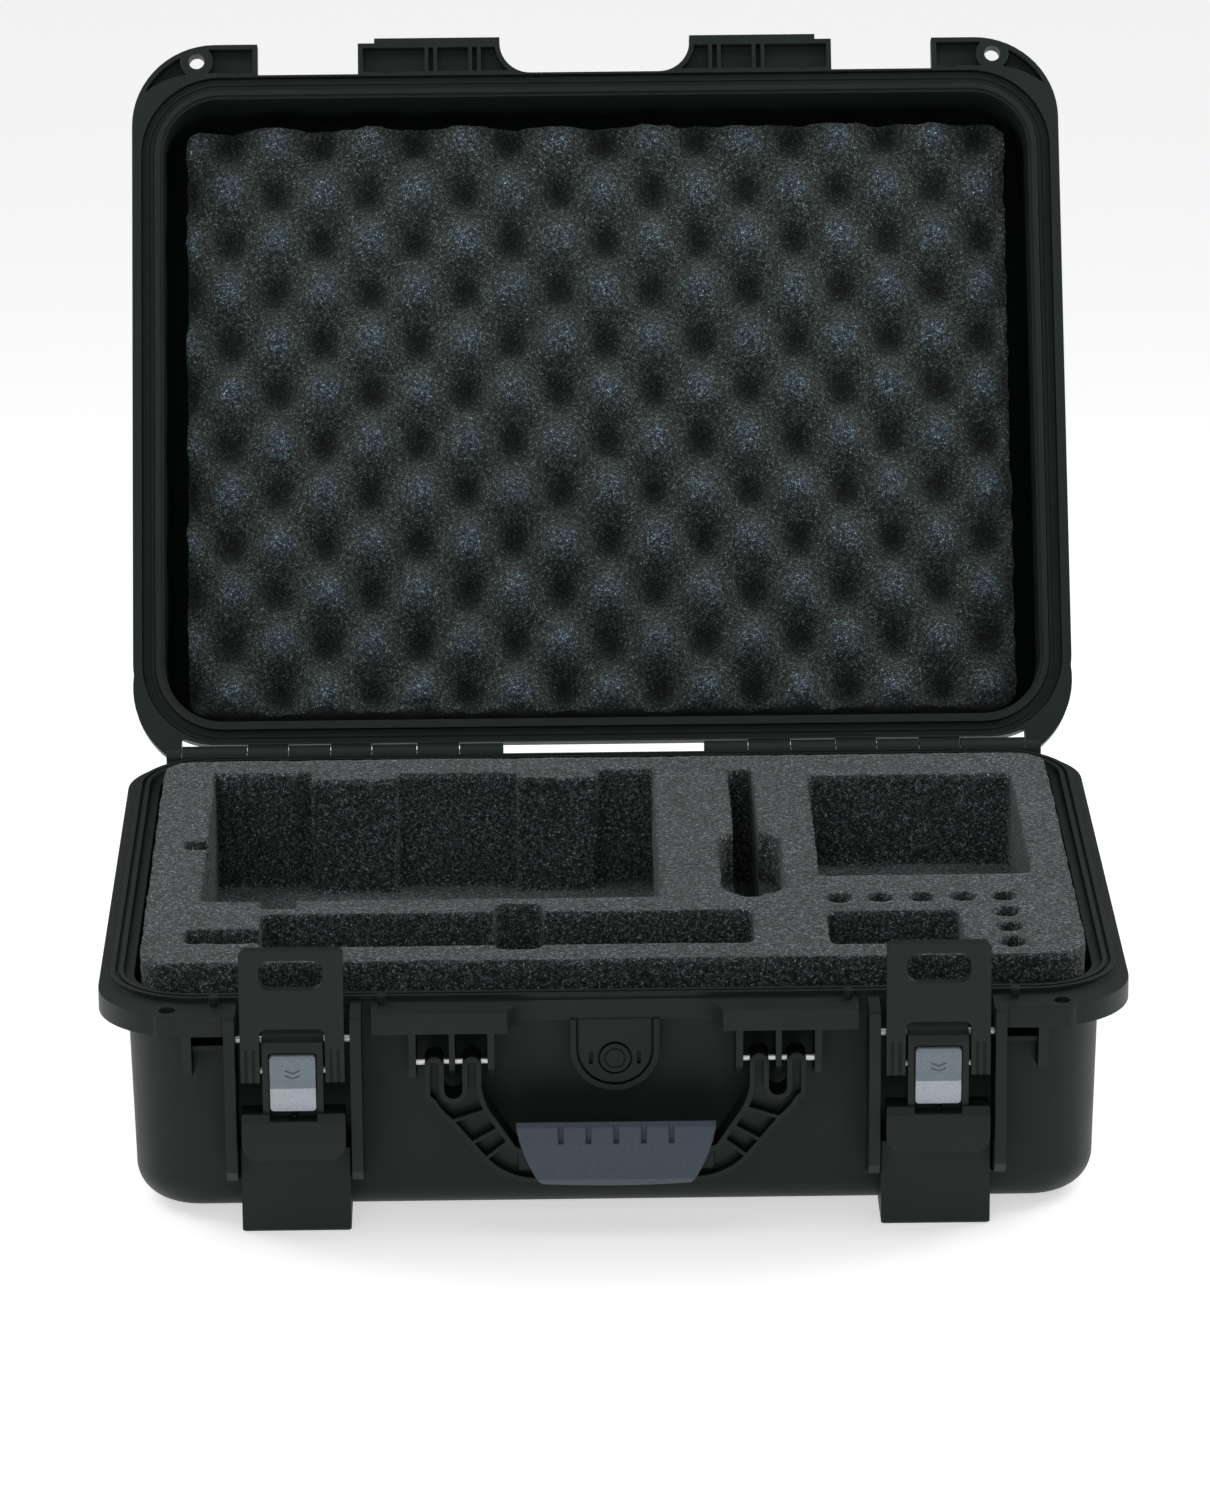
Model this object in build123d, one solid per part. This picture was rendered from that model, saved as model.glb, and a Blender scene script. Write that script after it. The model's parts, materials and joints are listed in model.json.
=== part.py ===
from build123d import *
import os
from math import cos, radians, sin

os.makedirs("parts", exist_ok=True)

# Hard-shell carrying case, standing open: X to the right, the front at -Y, +Z up.
# Every piece is drawn with the lid's hinge axis at Y = 0 and the feet at Z = 0.
# The last step moves them all so that the origin is below the middle of the case.

# ---- overall sizes
WIDTH = 424.0            # across the lips at the sides
DEPTH = 331.0            # hinge axis to the front of the padlock ears
BASE_HEIGHT = 98.0       # feet to the parting plane
LID_HEIGHT = 52.0        # parting plane to the top of the closed lid
LID_OPEN = 118.4         # degrees from closed to the open stop
WALL = 3.2
DRAFT = 1.5              # degrees, on every moulded wall

# ---- rim, seal and walls, as steps inwards from the outline
EAR_REACH = 14.5         # how far ears and brackets stand in front of the rim
KNUCKLE = 4.6            # radius of the hinge knuckles
KNUCKLE_ROOM = 0.6       # knuckle to the rim of the other shell
RIM_BACK = KNUCKLE + KNUCKLE_ROOM       # hinge axis to the rear of the rim
SIDE_LIP = 4.5           # outside of the tongue to the side edge
FRONT_LIP = 1.3          # outside of the tongue to the front and rear edges
TONGUE_WIDTH = 5.4
TONGUE_HEIGHT = 2.2
TONGUE_SLOT = 1.6        # groove along the top of the tongue
TONGUE_RADIUS = 36.0
WALL_STEP = 1.0          # tongue to the outside of the wall
SKIRT = 9.0              # height of the flange
SKIRT_WALL = 2.8
DECK = 3.2               # thickness of the flange's flat part
SEAL_DEPTH = 3.4         # depth of the lid's groove
SEAL_GAP = 0.35          # tongue to the sides of the lid's groove
GASKET = 1.0
BOTTOM_ROUND = 15.0      # rounding where the walls meet the floor
EAR_RADIUS = 38.0
WING_WEBS = [53.0, 57.0, 73.0, 77.0]    # middles of the webs under a wing
WING_ROUND = 14.0        # inner end of a wing, where it runs into the rim
FOOT_INSET = 8.0         # foot behind the front of the ears
FOOT_DROP = 1.3          # floor of the case above the feet

# ---- padlock ears
LOCK_X = 182.4
LOCK_INSET = 7.7         # from the front of the ear to the hole's axis
LOCK_HOLE = 3.6          # radius
LOCK_BOSS = 7.5
EAR_INNER = 154.5        # where the ear ends beside the latch
PEG_RADIUS = 2.2         # locating pegs beside the latches
PEG_HEIGHT = 4.2
PEG_EDGE = 1.8           # peg to the end of the ear or bracket
PEG_BACK = 0.4           # peg in front of the rim's edge
GUSSET = (13.5, 17.5)    # small rib under the ear, outside the latch's rib

# ---- hinge
HINGE_PIN = 2.0          # radius
PIN_GAP = 0.05           # radial clearance where a piece turns on a pin
PIN_SEAT = 0.02          # radial clearance where a pin is only seated
KNUCKLE_ENDS = [45.0, 65.0, 84.2, 104.5, 123.0, 142.0, 160.5, 190.0, 197.0]
KNUCKLE_GAP = 0.4
PARTING_GAP = 0.3        # rim to rim when the lid is closed
CROWN = 1.5              # stacking bars above the lid's top
CROWN_END = 45.0         # rim to the ends of the stacking bars
CHEEK_RADIUS = 40.0      # rear corners of the lid, outside the last knuckle

# ---- latch
LATCH_X = 131.4
LATCH_RIB = 4.6
LATCH_BAY = 46.8         # between the two ribs
RIB_FRONT = 4.0          # ribs in front of the ears
RIB_LENGTH = 72.0
LEVER_PIVOT = (7.5, 13.0)       # behind the ear front, below the parting plane
CLAW_PIVOT = (0.5, 24.0)
LATCH_PIN = 1.6
CLAW_PIN = 1.5
LEVER_WIDTH = 24.8
LEVER_TIP_WIDTH = 42.4
CLAW_WIDTH = 42.4
CLAW_PLATE = 4.0
CLAW_FACE = 1.0          # back of the claw in front of the ear front
CLAW_TOP = 30.0
CLAW_SLOT = (26.0, 12.8, 25.4)  # width, bottom and top
CATCH_GAP = 0.7          # catch to the claw's back and to the slot's edges
LEVER_OPEN = 105.0
SLIDE_WIDTH = 18.6
SLIDE_TOP = 15.3
SLIDE_SPLIT = 29.4
SLIDE_BOTTOM = 39.9
SLIDE_TRAVEL = 3.0
SLIDE_DEPTH = 3.7        # behind the lever's face
SLIDE_GAP = 0.35
SPRING_WIRE = 0.3        # radius
SPRING_RADIUS = 1.25
SPRING_TURNS = 6

# ---- handle
BRACKET = (47.0, 99.3)   # from the middle, along X
HANDLE_PIVOT = (5.5, 22.6)      # behind the bracket face, below the parting plane
HANDLE_PIN = 1.6
TABS = [(49.2, 52.1), (65.4, 67.8), (81.3, 84.3)]
FINGERS = [(54.7, 62.5), (69.9, 77.8)]
HANDLE_THICK = 14.0
ARM_SHOULDER = 9.0       # pivot down to where the fingers join
ARM_EDGE = 2.2           # border round the arm's sunk panel
ARM_RIBS = [(62.5, 22.5, 18), (57, 32.5, 30), (51.5, 39, 38)]   # X, below the pivot, tilt
GRIP_TOP = 47.0
GRIP_BOTTOM = 75.5
GRIP_SWELL = 4.0         # grip in front of the arms
GRIP_GROOVES = 5
GRIP_GROOVE_PITCH = 11.3
GRIP_GROOVE = (1.1, 8.5, 2.2)   # half width, length, depth
GRIP_HALF = 41.0         # at the top
HANDLE_OPEN = 105.0

# ---- pressure valve
VALVE_Z = 25.5           # below the parting plane
VALVE_BOSS = (36.6, 8.4, 39.6)  # width, top and bottom below the parting plane
VALVE_STAND = 9.5        # boss in front of the wall
VALVE_KNOB = 6.2         # radius
VALVE_SHANK = 4.0        # radius
COVER_RIM = 2.5
COVER_GAP = 0.8
COVER_VENT = 9.8         # slots of the cover, from the middle

# ---- foam
FOAM_TOP = 8.0           # insert above the parting plane
FOAM_SPLIT = 51.0        # insert's underside below the parting plane
FOAM_SIDE = 2.4          # insert to the side walls
FOAM_END = 14.8          # insert to the front and rear walls
FOAM_FLOOR = 6.0         # insert left under the deepest pockets
FOAM_FIT = 0.5
LID_FOAM_DEPTH = 38.0
LID_FOAM_SIDE = 9.4
LID_FOAM_FRONT = 8.5
LID_FOAM_REAR = 5.0
BATTERY_HOLE = 5.6       # radius
BATTERY_DEPTH = 32.0
CRESCENT_DEPTH = 22.0    # finger cut beside the narrow slot
POCKET_CORNER = 4.0

# ---- places worked out from the sizes above
HALF = WIDTH / 2
EAR_Y = -DEPTH
RIM_Y = EAR_Y + EAR_REACH
RIM = BASE_HEIGHT
LATCHES = {"left": -LATCH_X, "right": LATCH_X}


def frame_at(inset_side, inset_end, radius):
    """A rounded rectangle inside the rim: step in at the sides, step in at front and rear."""
    front = RIM_Y + inset_end
    back = -RIM_BACK - inset_end
    shape = RectangleRounded(2 * (HALF - inset_side), back - front, radius)
    return Pos(0, (front + back) / 2) * shape


def tongue_outline(step):
    """The rim's ring at a step inwards from the outside of the tongue."""
    return frame_at(SIDE_LIP + step, FRONT_LIP + step, TONGUE_RADIUS - step)


def slab(sketch, low, high):
    return extrude(Pos(0, 0, low) * sketch, high - low)


def block(x, y, z):
    """A box from three (low, high) pairs."""
    corner = Pos((x[0] + x[1]) / 2, (y[0] + y[1]) / 2, (z[0] + z[1]) / 2)
    return corner * Box(x[1] - x[0], y[1] - y[0], z[1] - z[0])


def side_profile(points, low, high):
    """A (Y, Z) outline extruded along X."""
    outline = make_face(Polyline(*points, close=True))
    return extrude(Plane.YZ.offset(low) * outline, high - low)


def front_shape(sketch, back, front):
    """An (X, Z) sketch extruded forwards, from its back face to its front face."""
    return extrude(Plane.XZ.offset(-back) * sketch, back - front)


def rod(radius, low, high, y, z):
    """A cylinder along X."""
    return extrude(Plane.YZ.offset(low) * (Pos(y, z) * Circle(radius)), high - low)


def both(shape):
    """The shape with its mirror image on the other side of the case."""
    return shape + mirror(shape, Plane.YZ)


def side_shift(side):
    return Pos(LATCHES[side], 0, 0)


# ---------------------------------------------------------------- shells

def tub(height, step, bottom_round):
    """A drafted tub below the parting plane at Z = 0, at a step inside the tongue ring."""
    body = extrude(tongue_outline(step), -height, taper=DRAFT)
    return fillet(body.edges().group_by(Axis.Z)[0], bottom_round)


def ear_outline(wing_in, wing_out, ear_in):
    """The rim with the padlock ears and the wings over the handle brackets."""
    depth = DEPTH - RIM_BACK
    full = Pos(0, EAR_Y + depth / 2) * RectangleRounded(WIDTH, depth, EAR_RADIUS)
    middle = Pos(0, EAR_Y) * RectangleRounded(2 * wing_in, 2 * EAR_REACH, WING_ROUND)
    notch = Pos((wing_out + ear_in) / 2, RIM_Y - EAR_REACH / 2) * Rectangle(ear_in - wing_out, EAR_REACH)
    return full - middle - notch - mirror(notch, Plane.YZ)


def corner_boss(low, high):
    boss = Pos(LOCK_X, EAR_Y + LOCK_INSET) * Circle(LOCK_BOSS)
    return both(slab(boss, low, high))


def lock_holes(low, high):
    hole = Pos(LOCK_X, EAR_Y + LOCK_INSET) * Circle(LOCK_HOLE)
    return both(slab(hole, low, high))


def knuckle_row(first, reach, arm_low, arm_high):
    """Every second knuckle from the first, with the arms that join them to the rim."""
    row = None
    for low, high in list(zip(KNUCKLE_ENDS, KNUCKLE_ENDS[1:]))[first::2]:
        inner = low + KNUCKLE_GAP / 2
        outer = high - KNUCKLE_GAP / 2
        arm = block((inner, outer), (-RIM_BACK - reach, 0), (arm_low, arm_high))
        piece = rod(KNUCKLE, inner, outer, 0, 0) + arm
        row = piece if row is None else row + piece
    return both(row)


def hinge_bores():
    return both(rod(HINGE_PIN + PIN_SEAT, KNUCKLE_ENDS[0] - 1, KNUCKLE_ENDS[-2] + 1, 0, 0))


def latch_bay():
    """The two ribs beside one latch with their pivot bosses, about X = 0."""
    half = LATCH_BAY / 2
    wall_y = RIM_Y + FRONT_LIP + TONGUE_WIDTH + WALL_STEP + WALL / 2
    front = EAR_Y - RIB_FRONT
    rib = [(wall_y, -DECK / 2), (wall_y, -RIB_LENGTH - 8), (front + 4, -RIB_LENGTH),
           (front, -RIB_LENGTH + 5), (front, -1), (front + 1, 0), (RIM_Y + 1, 0), (RIM_Y + 2, -DECK / 2)]
    bay = side_profile(rib, -half - LATCH_RIB, -half) + side_profile(rib, half, half + LATCH_RIB)
    bay += rod(LEVER_PIVOT[1] - SKIRT / 2, -half - LATCH_RIB, -half, *lever_axis())
    bay += rod(LEVER_PIVOT[1] - SKIRT / 2, half, half + LATCH_RIB, *lever_axis())
    return bay - rod(LATCH_PIN + PIN_SEAT, -half - LATCH_RIB + 1.2, half + LATCH_RIB - 1.2, *lever_axis())


def lever_axis():
    """The lever's pivot as (Y, Z) with the parting plane at Z = 0."""
    return (EAR_Y + LEVER_PIVOT[0], -LEVER_PIVOT[1])


def claw_axis():
    return (EAR_Y + CLAW_PIVOT[0], -CLAW_PIVOT[1])


def handle_axis():
    return (EAR_Y + HANDLE_PIVOT[0], -HANDLE_PIVOT[1])


def foot(y_wall, y_face, top):
    """One foot column, cored from below, with its outer edges broken."""
    half = LATCH_BAY / 2 - 1
    low, high = sorted((y_wall, y_face))
    column = block((-half, half), (low, high), (-BASE_HEIGHT, top))
    edge = column.edges().group_by(Axis.Z)[0]
    column = chamfer(edge, 1.0)
    return column


def foot_core(y_wall, y_face, top):
    half = LATCH_BAY / 2 - 1 - WALL
    inward = WALL if y_face < y_wall else -WALL
    low, high = sorted((y_wall, y_face + inward))
    return block((-half, half), (low, high), (-BASE_HEIGHT - 1, top - WALL))


def gusset():
    """The small tapering rib under the padlock ear with its shelf, for +X."""
    wall_y = RIM_Y + FRONT_LIP + TONGUE_WIDTH + WALL_STEP + WALL / 2
    side = LATCH_X + LATCH_BAY / 2 + LATCH_RIB
    rib = [(wall_y, -DECK / 2), (wall_y, -33), (EAR_Y + 8, -29), (EAR_Y + 4, -SKIRT),
           (EAR_Y + 4, -DECK / 2)]
    shelf = block((side - 1, side + GUSSET[0] + 1), (EAR_Y + 12, wall_y), (-19.5, -17.3))
    return side_profile(rib, side + GUSSET[0], side + GUSSET[1]) + shelf


def bracket_tabs():
    """The three tabs that hold one end of the handle, for +X."""
    wall_y = RIM_Y + FRONT_LIP + TONGUE_WIDTH + WALL_STEP + WALL / 2
    y, z = handle_axis()
    reach = HANDLE_PIN + 3.6
    tab = [(wall_y, -DECK / 2), (wall_y, z - 14), (y + reach, z - reach - 1), (y - 1, z - reach - 1.5),
           (y - reach, z - 2), (EAR_Y + 0.6, -SKIRT + 1), (EAR_Y + 0.6, -DECK / 2)]
    row = None
    for low, high in TABS:
        piece = side_profile(tab, low, high)
        row = piece if row is None else row + piece
    return row


def valve_outline(grow):
    """The shield outline of the valve boss, larger or smaller by a step."""
    width, top, bottom = VALVE_BOSS
    half = width / 2 + grow
    round_z = -bottom + half - grow
    upper = Polyline((-half, round_z), (-half, -top), (half, -top), (half, round_z))
    lower = ThreePointArc((-half, round_z), (0, -bottom - grow), (half, round_z))
    return make_face([upper, lower])


def valve_faces():
    """Y of the wall's inside and outside at the valve, and of the boss's front."""
    lean = VALVE_Z * sin(radians(DRAFT)) / cos(radians(DRAFT))
    outside = RIM_Y + FRONT_LIP + TONGUE_WIDTH + WALL_STEP + lean
    return outside + WALL, outside, outside - VALVE_STAND


def peg_places():
    """The two locating pegs on each side, in front of the tongue."""
    y = RIM_Y - PEG_RADIUS - PEG_BACK
    beside_latch = LATCH_X + LATCH_BAY / 2 + LATCH_RIB + PEG_RADIUS + PEG_EDGE
    return [Pos(beside_latch, y), Pos(BRACKET[1] - PEG_RADIUS - PEG_EDGE, y)]


def pegs(radius, low, high):
    row = slab(peg_places()[0] * Circle(radius), low, high)
    return both(row + slab(peg_places()[1] * Circle(radius), low, high))


def base_shell():
    body = tub(BASE_HEIGHT - FOOT_DROP, TONGUE_WIDTH + WALL_STEP, BOTTOM_ROUND)
    outline = ear_outline(BRACKET[0] - 3, BRACKET[1], EAR_INNER)
    flange = slab(outline, -SKIRT, 0)
    hollow = slab(offset(outline, -SKIRT_WALL), -SKIRT - 1, -DECK)
    bays = Pos(LATCH_X, 0, 0) * latch_bay()
    wall_y = RIM_Y + FRONT_LIP + TONGUE_WIDTH + WALL_STEP
    front_foot = (wall_y + 12, EAR_Y + FOOT_INSET, -RIB_LENGTH + 11)
    rear_wall = -RIM_BACK - FRONT_LIP - TONGUE_WIDTH - WALL_STEP
    rear_foot = (rear_wall - 22, -RIM_BACK - 1, -RIB_LENGTH + 2)
    feet = foot(*front_foot) + foot(*rear_foot)
    bays += Pos(LATCH_X, 0, 0) * feet
    bays += gusset() + bracket_tabs()
    boss_in, boss_out, boss_front = valve_faces()
    boss = front_shape(valve_outline(0), boss_in - 1, boss_front)
    shell = (flange - hollow) + body + both(bays) + boss
    shell += corner_boss(-SKIRT, 0)
    shell += slab(tongue_outline(0) - tongue_outline(TONGUE_WIDTH), -1, TONGUE_HEIGHT)
    slot = (TONGUE_WIDTH - TONGUE_SLOT) / 2
    shell -= slab(tongue_outline(slot) - tongue_outline(slot + TONGUE_SLOT), TONGUE_HEIGHT - 1.6, 9)
    shell -= tub(BASE_HEIGHT - FOOT_DROP - WALL, TONGUE_WIDTH + WALL_STEP + WALL, BOTTOM_ROUND - WALL)
    shell -= slab(tongue_outline(TONGUE_WIDTH + WALL_STEP + WALL), -1, 9)
    cores = foot_core(*front_foot) + foot_core(*rear_foot)
    cores -= Pos(-LATCH_X, 0, 0) * tub(BASE_HEIGHT - FOOT_DROP, TONGUE_WIDTH + WALL_STEP, BOTTOM_ROUND)
    shell -= both(Pos(LATCH_X, 0, 0) * cores)
    shell += knuckle_row(0, SKIRT_WALL, -KNUCKLE, -0.4)
    shell -= hinge_bores()
    shell -= lock_holes(-SKIRT - 1, 1)
    y, z = handle_axis()
    shell -= both(rod(HANDLE_PIN + PIN_SEAT, TABS[0][0] - 1, TABS[-1][1] + 1, y, z))
    shell -= front_shape(valve_outline(-COVER_RIM), boss_front + 3, boss_front - 1)
    shell -= front_shape(Pos(0, -VALVE_Z) * Circle(VALVE_SHANK + PIN_SEAT), boss_in + 9, boss_front - 1)
    shell -= front_shape(Pos(0, -VALVE_Z) * Circle(VALVE_KNOB - 1), boss_front + 4.6, boss_front)
    return shell + pegs(PEG_RADIUS, -1, PEG_HEIGHT)


def lid_shell():
    """Drawn closed, parting plane at Z = 0, then opened with the other lid pieces."""
    half_turn = Rotation(180, 0, 0)
    flip = Pos(0, RIM_Y - RIM_BACK, 0)
    outside = TONGUE_WIDTH + WALL_STEP
    outer = flip * (half_turn * tub(LID_HEIGHT, outside, BOTTOM_ROUND))
    inner = flip * (half_turn * tub(LID_HEIGHT - WALL, outside + WALL, BOTTOM_ROUND - WALL))
    outline = ear_outline(BRACKET[0] - 3.5, BRACKET[1] + 9.2, EAR_INNER)
    shell = slab(outline, 0, SKIRT) + outer
    shell += slab(rear_cheeks(), 0, SKIRT)
    shell += slab(handle_wing(), 0, SKIRT)
    shell += lid_crown()
    pockets = slab(offset(outline, -2.2) - frame_at(-9, -1.2, TONGUE_RADIUS + 4), -1, SKIRT - 3)
    pockets -= corner_boss(-1, SKIRT)
    for x in WING_WEBS:
        web = block((x - 0.8, x + 0.8), (EAR_Y - 5, RIM_Y + 5), (-1, SKIRT))
        pockets -= both(web)
    shell -= pockets
    shell -= inner
    shell -= slab(tongue_outline(TONGUE_WIDTH + WALL_STEP + WALL), -1, 1)
    shell -= slab(tongue_outline(TONGUE_WIDTH + WALL_STEP + 1.7), -1, 1.5)
    groove = tongue_outline(-SEAL_GAP) - tongue_outline(TONGUE_WIDTH + SEAL_GAP)
    shell -= slab(groove, -1, SEAL_DEPTH)
    shell += knuckle_row(1, FRONT_LIP / 2, 0.4, KNUCKLE)
    shell -= both(rod(HINGE_PIN + PIN_GAP, KNUCKLE_ENDS[0] - 1, KNUCKLE_ENDS[-1] - 2, 0, 0))
    shell -= lock_holes(-1, SKIRT + 1)
    shell -= block((-HALF, HALF), (EAR_Y - 9, -RIM_BACK - 0.1), (-1, PARTING_GAP))
    shell += both(Pos(LATCH_X, 0, 0) * lid_catch())
    return shell - pegs(PEG_RADIUS + SEAL_GAP, -1, PEG_HEIGHT + SEAL_GAP)


def rear_cheeks():
    """The rounded rear corners of the lid's flange, which carry its last knuckles."""
    inner = KNUCKLE_ENDS[-2] + KNUCKLE_GAP / 2
    centre = (HALF - CHEEK_RADIUS, 8 - CHEEK_RADIUS)
    cheek = Pos(*centre) * Circle(CHEEK_RADIUS)
    cheek &= Pos((inner + HALF) / 2, -40) * Rectangle(HALF - inner, 80)
    return cheek + mirror(cheek, Plane.YZ)


def handle_wing():
    """The thicker lip of the lid over each handle bracket."""
    low, high = BRACKET[0] - 3.5, BRACKET[1] + 1.7
    wing = Pos((low + high) / 2, EAR_Y - 0.6) * Rectangle(high - low, 3.4)
    return wing + mirror(wing, Plane.YZ)


def lid_crown():
    """Two raised stacking bars along the lid's top, in line with the feet."""
    half = LATCH_BAY / 2 - 1
    bar_y = (RIM_Y + CROWN_END, -RIM_BACK - CROWN_END)
    return both(block((LATCH_X - half, LATCH_X + half), bar_y, (LID_HEIGHT - 1, LID_HEIGHT + CROWN)))


def lid_catch():
    """The hooked lug in front of the lid's wall that a claw holds, about X = 0."""
    width, low, high = CLAW_SLOT
    half = width / 2 - CATCH_GAP
    wall_y = RIM_Y + FRONT_LIP + TONGUE_WIDTH + WALL_STEP + WALL / 2
    tip = RIM_Y + CATCH_GAP
    profile = [(wall_y + 1.2, SKIRT - 2), (RIM_Y + 3, SKIRT - 2), (tip, low + CATCH_GAP),
               (tip, high - CATCH_GAP - 2), (tip + 2, high - CATCH_GAP), (wall_y + 1.2, high - CATCH_GAP)]
    return side_profile(profile, -half, half)


def lid_gasket():
    """The soft ring at the bottom of the lid's groove, with a bead over the tongue's slot."""
    flat = tongue_outline(0.1) - tongue_outline(TONGUE_WIDTH - 0.1)
    ring = slab(flat, SEAL_DEPTH - GASKET, SEAL_DEPTH)
    middle = (TONGUE_WIDTH - 0.8) / 2
    bead = tongue_outline(middle) - tongue_outline(middle + 0.8)
    return ring + slab(bead, SEAL_DEPTH - GASKET - 0.6, SEAL_DEPTH)


def hinge_pin():
    """One of the two hinge pins, for +X; its outer end is closed in by the lid's last knuckle."""
    return rod(HINGE_PIN, KNUCKLE_ENDS[0] + 0.6, KNUCKLE_ENDS[-1] - 2.6, 0, 0)


# ---------------------------------------------------------------- latch, about X = 0

def latch_lever():
    pivot_y, pivot_z = lever_axis()
    face = EAR_Y - CLAW_FACE - CLAW_PLATE
    half = LEVER_WIDTH / 2
    body = [(pivot_y + 4, -SLIDE_TOP + 6.8), (face + 5, -SLIDE_TOP + 7.2), (face + 0.9, -SLIDE_TOP + 5),
            (face, -SLIDE_TOP + 2.4), (face, -SLIDE_BOTTOM - 4), (pivot_y - 2.6, -SLIDE_BOTTOM - 4),
            (pivot_y + 4.4, pivot_z - 9)]
    lever = side_profile(body, -half, half)
    tip_half = LEVER_TIP_WIDTH / 2
    tip = [(pivot_y - 3.4, -SLIDE_BOTTOM - 0.6), (face - 1.4, -SLIDE_BOTTOM - 0.6),
           (face - 3.2, -SLIDE_BOTTOM - 4), (face - 4, -SLIDE_BOTTOM - 12),
           (face - 4.4, -SLIDE_BOTTOM - 19.5), (face - 2.4, -SLIDE_BOTTOM - 20.5),
           (pivot_y - 6, -SLIDE_BOTTOM - 17)]
    paddle = side_profile(tip, -tip_half, tip_half)
    shield = Pos(0, -SLIDE_BOTTOM - 10.6) * RectangleRounded(LEVER_TIP_WIDTH, 20.2, 1.2)
    corners = Pos(0, -SLIDE_BOTTOM - 5) * RectangleRounded(LEVER_TIP_WIDTH, 31.2, 8)
    paddle &= front_shape(shield & corners, pivot_y + 4, face - 9)
    lever += paddle
    room = (SLIDE_WIDTH / 2 + SLIDE_GAP, -SLIDE_BOTTOM - SLIDE_TRAVEL - SLIDE_GAP)
    floor = face + SLIDE_DEPTH + 0.3
    lever -= block((-room[0], room[0]), (face - 6, floor), (room[1], -SLIDE_TOP + SLIDE_GAP))
    lever -= spring_well(spring_place()[1], room[1] + 1)
    cup_z = (-SLIDE_BOTTOM - 16, -SLIDE_BOTTOM - 5.5)
    lever -= block((-tip_half + 3, tip_half - 3), (face + 6, pivot_y), cup_z)
    lever -= rod(LATCH_PIN + PIN_GAP, -half - 1, half + 1, pivot_y, pivot_z)
    return lever - rod(CLAW_PIN + PIN_GAP, -half - 1, half + 1, *claw_axis())


def spring_place():
    """Y of the slide's spring, and Z of its two ends below the parting plane."""
    face = EAR_Y - CLAW_FACE - CLAW_PLATE
    return face + 2.4, -SLIDE_BOTTOM - SLIDE_TRAVEL - 9.0, -SLIDE_BOTTOM + 3.0


def spring_well(low, high):
    """The round hole that the slide's spring stands in."""
    radius = SPRING_RADIUS + SPRING_WIRE + 0.25
    return slab(Pos(0, spring_place()[0]) * Circle(radius), low, high)


def latch_spring():
    y, low, high = spring_place()
    length = high - low - 2 * SPRING_WIRE
    start = low + SPRING_WIRE
    path = Pos(0, y, start) * Helix(length / SPRING_TURNS, length, SPRING_RADIUS)
    section = Plane(origin=path @ 0, z_dir=path % 0) * Circle(SPRING_WIRE)
    return sweep(section, path, is_frenet=True)


def slide_body():
    """The whole slide before it is divided into its cap and its finger tip."""
    face = EAR_Y - CLAW_FACE - CLAW_PLATE
    half = SLIDE_WIDTH / 2
    middle = -(SLIDE_TOP + SLIDE_BOTTOM) / 2
    outline = Pos(0, middle) * RectangleRounded(SLIDE_WIDTH, SLIDE_BOTTOM - SLIDE_TOP, 1.6)
    body = front_shape(outline, face + SLIDE_DEPTH, face - 1.8)
    profile = [(face + 5, -SLIDE_TOP + 1), (face - 1.2, -SLIDE_TOP + 1), (face - 1.8, -SLIDE_TOP - 1.5),
               (face - 1.8, -SLIDE_SPLIT + 4.6), (face - 0.9, -SLIDE_SPLIT + 3.6),
               (face - 1.1, -SLIDE_SPLIT + 0.4), (face - 1.1, -SLIDE_SPLIT - 0.8),
               (face - 0.9, -SLIDE_SPLIT - 5), (face + 0.2, -SLIDE_BOTTOM + 1.4),
               (face + 0.6, -SLIDE_BOTTOM - 1), (face + 5, -SLIDE_BOTTOM - 1)]
    return body & side_profile(profile, -half, half)


def latch_slide():
    face = EAR_Y - CLAW_FACE - CLAW_PLATE
    half = SLIDE_WIDTH / 2 + 1
    upper = slide_body() - block((-half, half), (face - 5, face + 9), (-SLIDE_BOTTOM - 2, -SLIDE_SPLIT))
    for step in (0, 2.2):
        upper -= front_shape(chevron(-22.2 - step), face - 1.3, face - 4)
    return upper


def chevron(z):
    points = [(-3, z + 1.2), (0, z), (3, z + 1.2), (3, z + 0.5), (0, z - 0.8), (-3, z + 0.5)]
    return make_face(Polyline(*points, close=True))


def latch_tip():
    face = EAR_Y - CLAW_FACE - CLAW_PLATE
    half = SLIDE_WIDTH / 2 + 1
    lower = slide_body() - block((-half, half), (face - 5, face + 9), (-SLIDE_SPLIT - 0.02, 2))
    return lower - spring_well(spring_place()[1], spring_place()[2] + 0.05)


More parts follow.
